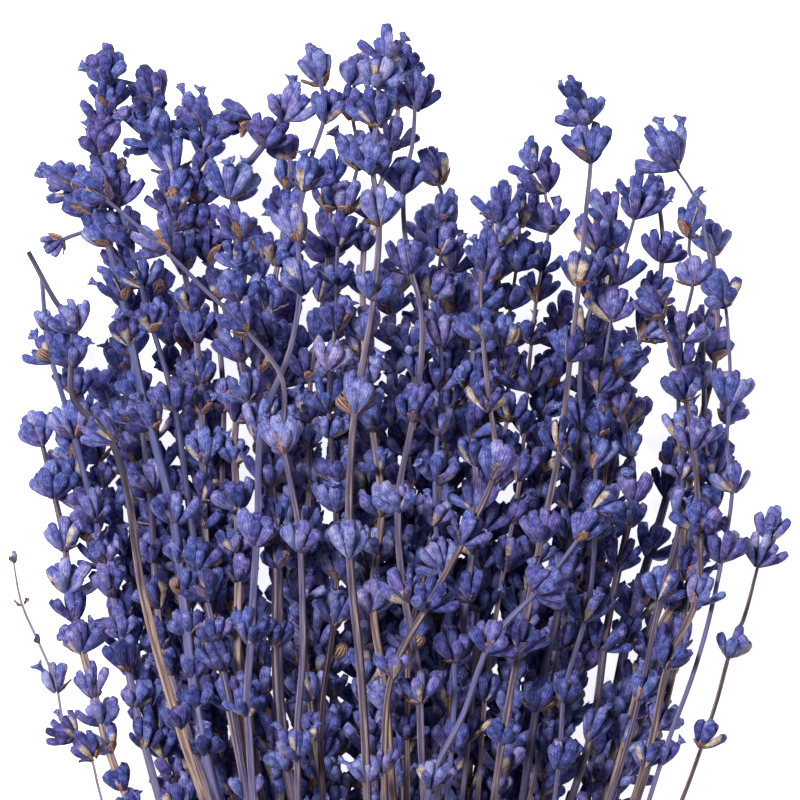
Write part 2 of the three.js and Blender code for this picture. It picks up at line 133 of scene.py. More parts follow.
table_laminate, tree, shader = new_material("off_white_lit_laminate", Roughness=0.7,
                                            Emission_Color=linear("FFFFFF"), Emission_Strength=TABLE_GLOW)
cloud = add_node(tree, "TexNoise", {"Scale": 3.0, "Detail": 2.0})
tree.links.new(colours_along(tree, cloud.outputs["Fac"], [(0, "F8F8FA"), (1, "FEFEFE")]),
               shader.inputs["Base Color"])
bpy.ops.mesh.primitive_plane_add(size=TABLE_SIZE, location=(0, 0, 0))
table = bpy.context.object
table.name = "table"
table.data.materials.append(table_laminate)

# ---------------------------------------------------------------- where the stems run
# Seventy-two cut stems lie in layers, pressed together in the tie and fanned out above it.
# The upper layers are the stems that the photograph shows; the lower ones fan out behind them.
MM_PER_PHOTO_PIXEL = 0.25
PHOTO_CENTRE_PIXEL = 400
PHOTO_TOP_Y = 380
STEMS_IN_LAYER = [4, 6, 8, 8, 10, 10, 8, 8, 6, 4]
LAYERS = len(STEMS_IN_LAYER)
LAYER_PITCH = 1.98
PACKED_RADIUS = 10.4
CUT_END_Y = -44
CUT_END_SCATTER = 9
CUT_END_SPLAY = 0.1
SPLAY_LENGTH = 40
TIE_HALF_LENGTH = 7
BEND_Y = 36
SPREAD_POWER = 1.25
FAN_START_Y = 185
FAN_END_Y = 380
FAN_HEIGHT = 70
FAN_HALF_WIDTH = 100
FAN_HEIGHT_GROWTH = (0.8, 1)
DOME_DROP = 0.5
LOWEST_STEM_Z = 5.6
LOWER_WHORL_GAP = (22, 30)
LOWER_WHORL_SHARE = 0.25
LOWER_WHORL_SIZE = 0.8
HIDDEN_STAGGER = 0.5
HIDDEN_BOW = 5
HIDDEN_REACH = (88, 93)
HIDDEN_TIP_SCATTER_X = 8
HIDDEN_TIP_Y = 336
HIDDEN_TIP_SCATTER_Y = 46
HIDDEN_SIDE_DROP = 34
HIDDEN_WHORL_GAPS = (15, 18, 22, 26)
HIDDEN_GAP_SCATTER = (0.85, 1.2)
HIDDEN_WHORL_SIZE = (0.88, 1.12)
TWINE_DIAMETER = 2.4
TIE_INNER_RADIUS = 10.8
TIE_SIDES = 18
TIE_CENTRE_Z = (TIE_INNER_RADIUS + TWINE_DIAMETER) * math.cos(math.pi / TIE_SIDES)

# Each stem from its tip down, as [across, down, size] in photo pixels: a whorl of that size,
# or bare stem where the size is 0.
SEEN_STEMS = {
    9: [
      [[92, 188, 1.1], [158, 245, 1.1], [200, 285, 0], [242, 324, 1], [286, 380, 0], [284, 440, 1.1],
        [300, 540, 0.9], [306, 640, 0], [296, 745, 1]],
      [[388, 45, 1], [381, 80, 1], [380, 118, 1.1], [374, 165, 1], [380, 214, 1.1], [374, 290, 1],
        [356, 400, 1.1], [352, 450, 0], [352, 543, 1.1], [360, 660, 0], [365, 770, 0.8]],
      [[484, 250, 1], [480, 290, 0], [483, 330, 1], [490, 400, 1], [494, 466, 1.1], [464, 533, 1],
        [430, 598, 1], [396, 665, 0.9], [386, 760, 0.8]],
      [[604, 497, 1], [584, 530, 1], [543, 584, 1], [490, 640, 1], [461, 711, 0], [432, 775, 0.9]],
    ],
    8: [
      [[28, 252, 0], [64, 311, 0], [74, 321, 1], [74, 356, 1], [75, 400, 0], [108, 433, 1.1], [143, 594, 0],
        [180, 720, 0.8]],
      [[314, 66, 1.1], [324, 114, 1], [311, 163, 0], [308, 180, 1.1], [300, 230, 1.1], [303, 283, 1.1],
        [290, 350, 0], [262, 420, 1], [260, 533, 1.15], [252, 632, 1], [246, 705, 0.9]],
      [[413, 90, 1.1], [411, 150, 0], [405, 185, 1], [410, 262, 1.1], [420, 310, 0], [414, 410, 1.1],
        [400, 500, 1], [402, 590, 1], [420, 690, 1]],
      [[568, 90, 0.6], [579, 116, 1], [587, 150, 1.2], [584, 210, 0], [580, 275, 1], [572, 350, 1],
        [560, 440, 1], [540, 530, 1], [520, 640, 1]],
      [[645, 301, 1], [665, 340, 0], [681, 390, 1.1], [692, 440, 1], [700, 520, 1], [698, 596, 1],
        [668, 658, 1], [645, 757, 0.8]],
      [[661, 146, 1.3], [677, 172, 0], [693, 198, 0], [711, 275, 0], [721, 295, 1.1], [729, 345, 0],
        [732, 393, 1.1], [728, 450, 0], [732, 482, 0.9], [721, 551, 1], [696, 668, 0], [664, 755, 0.8]],
    ],
    7: [
      [[55, 174, 0.8], [76, 195, 0], [104, 236, 1], [122, 290, 1], [150, 420, 1], [171, 512, 1.1],
        [190, 640, 0], [206, 745, 0.8]],
      [[105, 61, 0.9], [108, 98, 0.9], [100, 130, 1], [108, 170, 0.9], [130, 235, 1], [150, 320, 1],
        [172, 400, 1], [200, 560, 1], [220, 660, 1]],
      [[291, 102, 1], [262, 150, 0], [237, 186, 1.2], [240, 228, 1], [236, 290, 1], [238, 350, 1.1],
        [270, 474, 1.1], [276, 560, 0], [276, 637, 0.9], [288, 760, 0.8]],
      [[357, 69, 0.9], [350, 110, 1], [357, 158, 1.1], [340, 235, 1], [338, 320, 1], [330, 400, 1],
        [334, 500, 1], [334, 612, 1], [323, 727, 1]],
      [[448, 204, 0.8], [442, 245, 1], [436, 290, 1], [440, 380, 1], [436, 470, 1], [440, 560, 1],
        [452, 650, 1], [450, 740, 0.9]],
      [[637, 182, 1], [634, 208, 1], [620, 260, 0], [612, 310, 1], [596, 456, 1], [586, 610, 1],
        [566, 690, 1], [560, 757, 1]],
      [[691, 214, 1.1], [687, 250, 0], [693, 275, 0.9], [684, 330, 1], [678, 430, 1], [680, 510, 1.1],
        [664, 590, 1], [640, 690, 0.9]],
      [[776, 522, 0.9], [764, 556, 1], [745, 620, 0], [732, 648, 0.9], [716, 700, 0], [703, 738, 0.9],
        [681, 800, 0]],
    ],
    6: [
      [[9, 556, 0.35], [19, 603, 0.3], [37, 641, 0.3], [56, 683, 0.9], [68, 734, 0.9], [88, 752, 0.9],
        [100, 800, 0]],
      [[115, 80, 0], [150, 92, 1.1], [146, 124, 1.1], [168, 150, 1.1], [176, 205, 1], [184, 262, 1],
        [194, 330, 1], [203, 450, 1.2], [212, 602, 1], [226, 700, 1]],
      [[230, 122, 1], [266, 124, 0], [290, 150, 0.9], [288, 210, 1], [270, 300, 1], [262, 360, 1],
        [240, 410, 1], [238, 500, 1], [240, 690, 0.9]],
      [[401, 60, 0.9], [392, 140, 1], [366, 240, 1], [366, 330, 1], [372, 420, 1], [380, 505, 1],
        [372, 600, 1], [388, 700, 1]],
      [[505, 200, 1.1], [500, 236, 1], [478, 300, 1], [470, 380, 1], [478, 500, 1], [468, 590, 1],
        [448, 700, 1]],
      [[585, 230, 1], [600, 268, 1], [586, 330, 1], [580, 420, 1], [570, 500, 1], [560, 600, 1],
        [540, 700, 1]],
      [[655, 190, 0.9], [662, 250, 1], [650, 330, 1], [622, 365, 1.1], [632, 490, 1.1], [622, 560, 1],
        [606, 640, 1], [590, 730, 1]],
      [[700, 316, 0], [703, 378, 0.8], [708, 470, 1], [716, 500, 0.8], [694, 570, 1], [680, 640, 1],
        [660, 720, 0.9]],
    ],
    5: [
      [[33, 425, 1], [50, 487, 1], [64, 540, 1], [72, 612, 1], [89, 688, 1], [104, 745, 0.9]],
      [[38, 278, 0], [43, 337, 0], [46, 352, 1], [70, 425, 1.1], [94, 512, 1], [110, 586, 1], [124, 660, 1],
        [140, 740, 0.9]],
      [[43, 247, 0], [92, 232, 0], [122, 262, 1], [132, 345, 1], [136, 390, 1], [146, 480, 1],
        [162, 640, 1], [182, 709, 1]],
      [[189, 102, 0.6], [205, 132, 1.1], [200, 180, 1], [210, 250, 1.1], [216, 330, 1], [222, 400, 1],
        [224, 520, 1], [230, 600, 1]],
      [[330, 165, 1], [332, 200, 1], [322, 290, 1], [312, 370, 1], [310, 480, 1], [300, 590, 1],
        [310, 690, 1]],
      [[430, 165, 1], [440, 190, 0], [456, 260, 1], [452, 330, 1], [446, 430, 1], [432, 520, 1],
        [410, 640, 1]],
      [[522, 205, 1], [516, 260, 1], [505, 340, 1], [508, 410, 1], [488, 520, 1], [478, 600, 1],
        [468, 730, 1]],
      [[530, 153, 0.9], [540, 182, 1], [547, 222, 1], [538, 290, 1], [530, 380, 1], [520, 470, 1],
        [504, 560, 1], [488, 690, 1]],
      [[600, 205, 1], [612, 240, 1], [600, 380, 1], [606, 440, 1], [596, 530, 1], [560, 640, 1]],
      [[712, 235, 0.9], [716, 350, 0.9], [700, 430, 1], [690, 500, 1], [676, 600, 1], [650, 650, 1],
        [625, 740, 1]],
    ],
}


# What the photograph hides is drawn at random, with the same numbers each time.
SEED_SPREAD = (7919, 12345)
DRAW_STEP = (1664525, 1013904223)
DRAW_RANGE = 2 ** 32
DRAWS_SKIPPED = 4
FULL_TURN = 6.28


def seeded(seed):
    """Random numbers from 0 to 1 that come out alike each time."""
    state = (seed * SEED_SPREAD[0] + SEED_SPREAD[1]) % DRAW_RANGE

    def draw():
        nonlocal state
        state = (state * DRAW_STEP[0] + DRAW_STEP[1]) % DRAW_RANGE
        return state / DRAW_RANGE

    for _ in range(DRAWS_SKIPPED):
        draw()
    return draw


def mix(a, b, t):
    return a + (b - a) * t


def clamp01(t):
    return min(1, max(0, t))


def layer_z(layer, x, y):
    """Height of a layer of stems: packed tight in the tie, domed and spread out in the fan."""
    packed = TIE_CENTRE_Z + (layer - (LAYERS - 1) / 2) * LAYER_PITCH
    if y <= TIE_HALF_LENGTH:
        splay = CUT_END_SPLAY * clamp01((-TIE_HALF_LENGTH - y) / SPLAY_LENGTH) ** 2
        return packed + (packed - TIE_CENTRE_Z) * splay
    dome = 1 - DOME_DROP * (x / FAN_HALF_WIDTH) ** 2
    growth = mix(*FAN_HEIGHT_GROWTH, clamp01((y - FAN_START_Y) / (FAN_END_Y - FAN_START_Y)))
    fanned = LOWEST_STEM_Z + (layer / (LAYERS - 1)) * FAN_HEIGHT * growth * dome
    spread = clamp01((y - TIE_HALF_LENGTH) / (FAN_START_Y - TIE_HALF_LENGTH)) ** SPREAD_POWER
    return mix(packed, fanned, spread)


def packed_x(layer, place):
    """Place of a stem in its layer inside the tie, where the layers fill the round side by side."""
    half_width = math.sqrt(PACKED_RADIUS ** 2 - ((layer - (LAYERS - 1) / 2) * LAYER_PITCH) ** 2)
    return ((place + 0.5) / STEMS_IN_LAYER[layer] * 2 - 1) * half_width


def seen_course(photo_points):
    """A stem of the photograph, as [x, y, size] in millimetres from its lowest point up."""
    return [[(across - PHOTO_CENTRE_PIXEL) * MM_PER_PHOTO_PIXEL,
             PHOTO_TOP_Y - down * MM_PER_PHOTO_PIXEL, size]
            for across, down, size in reversed(photo_points)]


def hidden_course(layer, place, draw):
    """A stem behind the ones that show: it fans out evenly and carries whorls by a rule."""
    stagger = (layer % 2 - 0.5) * HIDDEN_STAGGER
    slot = (place + 0.5 + stagger) / STEMS_IN_LAYER[layer] * 2 - 1
    bow = (draw() - 0.5) * HIDDEN_BOW
    tip_x = slot * mix(*HIDDEN_REACH, draw()) + (draw() - 0.5) * HIDDEN_TIP_SCATTER_X
    tip_y = HIDDEN_TIP_Y - HIDDEN_SIDE_DROP * slot ** 2 - HIDDEN_TIP_SCATTER_Y * draw()
    course = []
    y = tip_y
    for gap in (0,) + HIDDEN_WHORL_GAPS:
        y -= gap * mix(*HIDDEN_GAP_SCATTER, draw())
        part = (y - TIE_HALF_LENGTH) / (tip_y - TIE_HALF_LENGTH)
        x = tip_x * part + bow * math.sin(math.pi * part)
        course.insert(0, [x, y, mix(*HIDDEN_WHORL_SIZE, draw())])
    return course


def stem_points(layer, place, draw):
    """Points [x, y, z, whorl size] of one stem from its cut end to its tip, in millimetres."""
    if layer in SEEN_STEMS:
        course = seen_course(SEEN_STEMS[layer][place])
    else:
        course = hidden_course(layer, place, draw)
    in_tie = packed_x(layer, place)
    cut_y = CUT_END_Y - CUT_END_SCATTER * draw()
    first_x, first_y = course[0][:2]

    def between(y, size):
        part = ((y - TIE_HALF_LENGTH) / (first_y - TIE_HALF_LENGTH)) ** SPREAD_POWER
        return [mix(in_tie, first_x, part), y, size]

    points = [[in_tie * (1 + CUT_END_SPLAY), cut_y, 0], [in_tie, -TIE_HALF_LENGTH, 0],
              [in_tie, TIE_HALF_LENGTH, 0], between(BEND_Y, 0)]
    lower_y = first_y - mix(*LOWER_WHORL_GAP, draw())
    if draw() < LOWER_WHORL_SHARE:
        points.append(between(lower_y, LOWER_WHORL_SIZE))
    return [[x, y, layer_z(layer, x, y), size] for x, y, size in points + course]


def smooth_course(points, step):
    """A smooth line through the points, about one step apart, with each point's index on it."""
    knots = np.array([p[:3] for p in points])
    gaps = np.linalg.norm(np.diff(knots, axis=0), axis=1)
    slopes = np.diff(knots, axis=0) / gaps[:, None]
    tangents = np.vstack([slopes[:1], (slopes[:-1] + slopes[1:]) / 2, slopes[-1:]])
    line = [knots[0]]
    marks = [0]
    for i, gap in enumerate(gaps):
        count = max(2, int(round(gap / step)))
        for k in range(1, count + 1):
            t = k / count
            line.append((2 * t ** 3 - 3 * t ** 2 + 1) * knots[i]
                        + (t ** 3 - 2 * t ** 2 + t) * gap * tangents[i]
                        + (3 * t ** 2 - 2 * t ** 3) * knots[i + 1]
                        + (t ** 3 - t ** 2) * gap * tangents[i + 1])
        marks.append(len(line) - 1)
    return np.array(line), marks


def frames_along(line, upward=(0, 0, 1)):
    """For each point of a line: the direction along it, to its side, and up from it."""
    along = np.gradient(line, axis=0)
    along /= np.linalg.norm(along, axis=1)[:, None]
    side = np.cross(along, upward)
    side /= np.linalg.norm(side, axis=1)[:, None]
    return along, side, np.cross(side, along)


# ---------------------------------------------------------------- what the pieces are made from
# Stalk, calyces, dried flowers, bracts and twine are all sleeves: rings of points along a line.
# A piece gathers its sleeves, each with its material and with a patch of the map to itself.
MAP_PATCH = 0.94
MAP_MARGIN = 0.03


class Piece:
    def __init__(self, name):
        self.name = name
        self.sleeves = []

    def add(self, rings, material, marks=(0, 0, 0)):
        """rings: rows x points x 3 in mm. marks: three values for the material, each of them one number,
        one for each row or one for each point."""
        rows, cols = rings.shape[:2]
        by_row = [np.reshape(mark, (-1, 1)) if np.ndim(mark) == 1 else mark for mark in marks]
        spread = [np.broadcast_to(mark, (rows, cols)) for mark in by_row]
        self.sleeves.append((rings, material, np.stack(spread, -1)))

    def make(self, materials):
        points, faces, patches, grains, kinds, marks = [], [], [], [], [], []
        across = math.ceil(math.sqrt(len(self.sleeves)))
        start = 0
        for number, (rings, kind, mark) in enumerate(self.sleeves):
            rows, cols = rings.shape[:2]
            row, col = np.meshgrid(np.arange(rows - 1), np.arange(cols), indexing="ij")
            after = (col + 1) % cols
            quads = [row * cols + col, row * cols + after, (row + 1) * cols + after, (row + 1) * cols + col]
            faces.append(np.stack(quads, -1).reshape(-1, 4) + start)
            steps = np.linalg.norm(np.diff(rings.mean(axis=1), axis=0), axis=1)
            length = np.concatenate([[0], np.cumsum(steps)])
            round_it = np.stack([col, col + 1, col + 1, col], -1).reshape(-1) / cols
            climb = np.stack([row, row, row + 1, row + 1], -1).reshape(-1)
            grains.append(np.stack([round_it, length[climb]], -1))
            corner = [number % across, number // across]
            on_patch = np.stack([round_it, climb / (rows - 1)], -1) * MAP_PATCH + MAP_MARGIN
            patches.append((on_patch + corner) / across)
            points.append(rings.reshape(-1, 3) * MM)
            kinds.append(np.full((rows - 1) * cols, kind))
            marks.append(mark.reshape(-1, 3))
            start += rows * cols
        mesh = bpy.data.meshes.new(self.name)
        mesh.from_pydata(np.vstack(points).tolist(), [], np.vstack(faces).tolist())
        mesh.uv_layers.new(name="OFBake").data.foreach_set("uv", np.vstack(patches).ravel())
        mesh.uv_layers.new(name="grain").data.foreach_set("uv", np.vstack(grains).ravel())
        mesh.polygons.foreach_set("material_index", np.concatenate(kinds))
        mesh.polygons.foreach_set("use_smooth", np.ones(len(mesh.polygons), dtype=bool))
        colours = np.hstack([np.vstack(marks), np.ones((start, 1))])
        mesh.attributes.new("marks", "FLOAT_COLOR", "POINT").data.foreach_set("color", colours.ravel())
        for material in materials:
            mesh.materials.append(material)
        made = bpy.data.objects.new(self.name, mesh)
        bpy.context.collection.objects.link(made)
        return made


def sleeve(line, side, up, half_widths, half_depths, ruffle, turn=0.0):
    """Rings round a line. ruffle is the rows x points share of the radius at each point."""
    angles = turn + np.arange(ruffle.shape[1]) * 2 * math.pi / ruffle.shape[1]
    sideways = (np.cos(angles) * ruffle * np.reshape(half_widths, (-1, 1)))[..., None] * side[:, None, :]
    upward = (np.sin(angles) * ruffle * np.reshape(half_depths, (-1, 1)))[..., None] * up[:, None, :]
    return line[:, None, :] + sideways + upward


def marks_and_grain(tree):
    """The three marks of the mesh, and how far round (0 to 1) and along (mm) each point of a sleeve is."""
    marks = add_node(tree, "Attribute", {"attribute_name": "marks"})
    split = add_node(tree, "SeparateColor", Color=marks.outputs["Color"])
    grain = add_node(tree, "UVMap", {"uv_map": "grain"})
    return [split.outputs[i] for i in range(3)], grain.outputs["UV"]


def grain_noise(tree, grain, strands_round, strand_length, detail=3.0):
    """Streaks that run along a sleeve: so many round it, each so many mm long."""
    stretched = add_node(tree, "Mapping", {"Scale": (strands_round, 1 / strand_length, 1)}, Vector=grain)
    return add_node(tree, "TexNoise", {"Scale": 1.0, "Detail": detail},
                    Vector=stretched.outputs["Vector"]).outputs["Fac"]


def space_noise(tree, size_mm, detail=2.0):
    place = add_node(tree, "TexCoord")
    return add_node(tree, "TexNoise", {"Scale": 1 / (size_mm * MM), "Detail": detail},
                    Vector=place.outputs["Object"]).outputs["Fac"]


def weighted(tree, value, weight, plus):
    """value * weight + plus, where plus is a number or another value."""
    node = add_node(tree, "Math", {"operation": "MULTIPLY_ADD", "1": weight}, _0=value)
    if isinstance(plus, (int, float)):
        node.inputs[2].default_value = plus
    else:
        tree.links.new(plus, node.inputs[2])
    return node.outputs[0]


def roughen(tree, shader, height, depth_mm, strength):
    bump = add_node(tree, "Bump", {"Strength": strength, "Distance": depth_mm * MM}, Height=height)
    tree.links.new(bump.outputs["Normal"], shader.inputs["Normal"])


# ---------------------------------------------------------------- stalks
# A lavender stalk is square with a groove down each side, and dries hard and stringy.
# The dye left it dark mauve with tan fibre showing through, and bluer toward the tip.
# Some stalks took more of the dye than others, and are blue all the way down.
STALK, CALYX, DRIED_FLOWER, BRACT = range(4)
STALK_HALF_WIDTH = 0.74
STALK_TIP_HALF_WIDTH = 0.42
STALK_STEP = 3.6
STALK_STOUTNESS = (0.82, 1.6)
PACKED_STOUTNESS = (1.2, 1.45)
STALK_CORNERS = 1.22
STALK_GROOVES = 0.9
STALK_TURN = 0.5
FRONT_STALK_SIDES = 12
BEHIND_STALK_SIDES = 8
STOUTNESS_RISE = 90
CUT_EDGE = 0.06
TAPER_START_Y = 225
BLUE_FROM_Y = 235
BLUE_UP_TO_Y = 375
LEAST_BLUE_AT_TIP = 0.4
BLUE_LOW_DOWN = 0.85
RIDGE_SCATTER = 0.8
TAN_LEFT_OF_X = (-55, -28)
TANNER_LEFT_BY = (1.3, 0)
TAN_BELOW_Y = (222, 262)
TANNER_LOW_BY = (1, -0.7)
# How stout the stalks that show most are in the photograph, by layer and place in the layer.
SEEN_STOUTNESS = {(9, 0): 1.1, (9, 1): 1.35, (9, 3): 0.9, (8, 0): 1.6, (8, 5): 0.85, (7, 0): 1.6,
                  (7, 2): 1.75, (7, 6): 0.9, (7, 7): 0.7, (6, 0): 0.5}

dried_stalk, tree, shader = new_material("dried_lavender_stalk_dyed", Roughness=0.6,
                                         Specular_IOR_Level=0.35)
(ridge, blue, cut_face), grain = marks_and_grain(tree)
fibres = grain_noise(tree, grain, 9, 18)
fine_fibres = grain_noise(tree, grain, 26, 9)
tan_share = weighted(tree, ridge, 0.11,
                     weighted(tree, fibres, 0.78, weighted(tree, fine_fibres, 0.5, -0.16)))
fibre_colour = colours_along(tree, tan_share,
                             [(0.34, "241B28"), (0.46, "50404A"), (0.58, "806A6C"), (0.71, "BE9E8A")])
dyed_colour = blend_colours(tree, blue, fibre_colour,
                            colours_along(tree, fine_fibres, [(0.3, "40447F"), (0.7, "757AB2")]))
pith_colour = colours_along(tree, fine_fibres, [(0.3, "B79F72"), (0.7, "E0D0A6")])
tree.links.new(blend_colours(tree, cut_face, dyed_colour, pith_colour), shader.inputs["Base Color"])
roughen(tree, shader, fine_fibres, 0.1, 0.5)


def add_stalk(piece, line, frames, seen_stoutness, is_front, draw):
    _, side, up = frames
    y = line[:, 1]
    sides = FRONT_STALK_SIDES if is_front else BEHIND_STALK_SIDES
    packed, above = mix(*PACKED_STOUTNESS, draw()), mix(*STALK_STOUTNESS, draw())
    stoutness = mix(packed, seen_stoutness or above, np.clip((y - BEND_Y) / STOUTNESS_RISE, 0, 1))
    taper = np.clip((y - TAPER_START_Y) / max(1, y[-1] - TAPER_START_Y), 0, 1)
    half = mix(STALK_HALF_WIDTH, STALK_TIP_HALF_WIDTH, taper) * stoutness
    at_corner = np.arange(sides) % (sides // 4) == 0
    shape = np.broadcast_to(np.where(at_corner, STALK_CORNERS, STALK_GROOVES), (len(line), sides))
    rings = sleeve(line, side, up, half, half, shape, math.pi / 4 + mix(-STALK_TURN, STALK_TURN, draw()))
    centre = line[:1, None, :]
    cut_end = np.repeat(centre, sides, axis=1) - (0, CUT_EDGE, 0)
    cut_rim = centre + (rings[:1] - centre) * (1 - CUT_EDGE) - (0, CUT_EDGE, 0)
    just_above = mix(rings[:1], rings[1:2], CUT_EDGE)
    tip_end = np.repeat(line[-1:, None, :], sides, axis=1)
    rings = np.concatenate([cut_end, cut_rim, rings[:1], just_above, rings[1:], tip_end])
    all_y = np.concatenate([y[:1], y[:1], y[:1], y, y[-1:]])
    tanner = (np.interp(rings[..., 0], TAN_LEFT_OF_X, TANNER_LEFT_BY)
              * np.interp(rings[..., 1], TAN_BELOW_Y, TANNER_LOW_BY))
    ridges = at_corner + mix(-RIDGE_SCATTER, RIDGE_SCATTER, draw()) + tanner
    dyed = draw()
    bluer = np.clip((all_y - BLUE_FROM_Y) / (BLUE_UP_TO_Y - BLUE_FROM_Y), 0, 1)
    bluer = np.maximum(bluer * mix(LEAST_BLUE_AT_TIP, 1, dyed), BLUE_LOW_DOWN * dyed ** 2)
    cut = np.zeros(len(rings))
    cut[:2] = 1
    piece.add(rings, STALK, (ridges, bluer, cut))


# ---------------------------------------------------------------- calyces
# Each calyx is a small felted barrel on a narrow foot, with fine ribs and a blunt, nearly closed mouth.
# It was dyed violet-blue after drying: matte, mottled, and left straw-coloured where the dye missed.
CALYX_LENGTH = 7.8
CALYX_HALF_WIDTH = 1.36
PLUMPNESS = (0.82, 1.24)
SIZE_SCATTER = (0.84, 1.1)
WIDTH_POWER = 0.7
CALYX_BEND = (0.0, 0.28)
CALYX_FLATNESS = (0.8, 1.0)
CALYX_DENTS = (0.07, 0.05)
CALYX_LUMPS = 0.05
CALYX_WRINKLES = 0.055
CALYX_TEETH = 0.035
CALYX_RIBS = 13
FRONT_CALYX_SIDES = 10
BEHIND_CALYX_SIDES = 8
CLEAR_OF_TABLE = 1.05
# Along a calyx, as shares of its length, and how wide it is there, as shares of its half width.
CALYX_OUTLINE = np.array([(0, 0.2), (0.1, 0.36), (0.24, 0.56), (0.42, 0.77), (0.6, 0.92), (0.76, 1.0),
                          (0.88, 0.94), (0.96, 0.7), (1.0, 0.4), (0.95, 0.04)])
BEHIND_OUTLINE = CALYX_OUTLINE[[0, 2, 4, 5, 7, 9]]
TONE_SCATTER = 0.1
# Painted shade: each calyx's tone is made darker toward its foot, deep in the whorl, and at the rim of its
# mouth.
FOOT_SHADE = 0.14
MOUTH_SHADE = 0.08
MOUTH_STOP = 0.97
MISSED_SHARE = 0.28
MISSED_UP_TO = (0.4, 1.1)
MISSED_EDGE = 4
MISSED_SIDE = (2.4, -0.6)
UNDYED_SHARE = 0.01
UNDYED_SIZE = 0.7
UNDYED_PLUMPNESS = 1.5
SHRIVELLED_SHARE = 0.1
SHRIVELLED_WIDTH = (0.55, 0.8)
SHRIVELLED_LENGTH = 0.6
FELT_SIZE = 0.28
CLOUD_SIZE = 1.6
DYE_PATCH_SIZE = 11

felted_calyx, tree, shader = new_material("dyed_felted_calyx", Roughness=0.85, Specular_IOR_Level=0.2,
                                          Sheen_Weight=0.18, Sheen_Roughness=0.4)
(tone, undyed, missed), grain = marks_and_grain(tree)
turns = add_node(tree, "SeparateXYZ", Vector=grain)
rib_angle = weighted(tree, turns.outputs["X"], CALYX_RIBS * 2 * math.pi, 0)
ribs = add_node(tree, "Math", {"operation": "SINE"}, _0=rib_angle).outputs[0]
felt = space_noise(tree, FELT_SIZE)
clouds = space_noise(tree, CLOUD_SIZE, 3.0)
# This value takes in the tone mark, which carries painted shade at the foot and mouth of each calyx and at
# places across the bunch, and the ribs, which paint shade in the grooves between them and a highlight on
# their crests.
dye_and_shade = weighted(tree, clouds, 0.7,
               weighted(tree, felt, 0.5, weighted(tree, ribs, 0.05, weighted(tree, tone, 1, -0.12))))
blue_dye = colours_along(tree, dye_and_shade,
                         [(0.26, "24285A"), (0.46, "4F5AA6"), (0.6, "7982C3"), (0.82, "BAB9DC")])
violet_dye = colours_along(tree, dye_and_shade,
                           [(0.26, "2E2653"), (0.46, "60549E"), (0.6, "897BB9"), (0.82, "C2B5D6")])
patches = space_noise(tree, DYE_PATCH_SIZE, 1.0)
dye_and_shade_colour = blend_colours(tree, weighted(tree, patches, 3.4, -1.4), blue_dye, violet_dye)
straw_share = weighted(tree, missed, 2.4, weighted(tree, felt, 1.2, -1.3))
# Here too the ribs paint shade in their grooves and a highlight on their crests, lightly in the straw
# streaks and more strongly in the brown streaks.
straw_streaks = weighted(tree, ribs, 0.03, weighted(tree, clouds, 0.6, weighted(tree, felt, 0.4, 0)))
straw_colour = colours_along(tree, straw_streaks, [(0.36, "80685C"), (0.48, "C0A892"), (0.62, "E6D8C8")])
brown_streaks = weighted(tree, ribs, 0.22, weighted(tree, felt, 0.5, 0.22))
brown_colour = colours_along(tree, brown_streaks, [(0.28, "4E3A38"), (0.5, "967266"), (0.7, "C8A28E")])
partly_dyed = blend_colours(tree, straw_share, dye_and_shade_colour, straw_colour)
tree.links.new(blend_colours(tree, undyed, partly_dyed, brown_colour), shader.inputs["Base Color"])
roughen(tree, shader, weighted(tree, ribs, 0.3, felt), 0.12, 0.8)

# Here and there a dried flower still hangs from the mouth, its thin petals shrunk to a crumpled tuft.
# It is paler than the calyx, because dye and light pass through the petals.
FLOWERING_SHARE = 0.06
FLOWER_LENGTH = (1.4, 3)
FLOWER_BEND = (-0.3, 0.5)
FLOWER_CRUMPLE = 0.6
FLOWER_FLATNESS = 0.8
FLOWER_SIDES = 9
FLOWER_OUTLINE = np.array([(0, 0.5), (0.3, 0.55), (0.6, 0.7), (0.85, 1.0), (1.0, 0.9), (0.75, 0.15)])
CREASE_SIZE = 0.5
LEAST_HEIGHT = 0.05

dried_petals, tree, shader = new_material("crumpled_dried_petals", Roughness=0.7, Specular_IOR_Level=0.3,
                                          Subsurface_Weight=0.1, Subsurface_Scale=0.001)
creases = space_noise(tree, CREASE_SIZE, 3.0)
petal_colour = colours_along(tree, creases, [(0.36, "3A3E76"), (0.5, "6068AA"), (0.66, "969ED2")])
tree.links.new(petal_colour, shader.inputs["Base Color"])
roughen(tree, shader, creases, 0.2, 0.6)


def bent_line(root, direction, toward, length, bend, stops):
    """Points from the root along a direction, curving toward another, at the given shares of the length."""
    return root + np.outer(stops * length, direction) + np.outer(stops ** 2 * length * bend, toward)


def across_from(direction):
    """Two directions across the given one."""
    helper = (0, 0, 1.0) if abs(direction[2]) < 0.9 else (1.0, 0, 0)
    side = np.cross(direction, helper)
    side /= np.linalg.norm(side)
    return side, np.cross(side, direction)


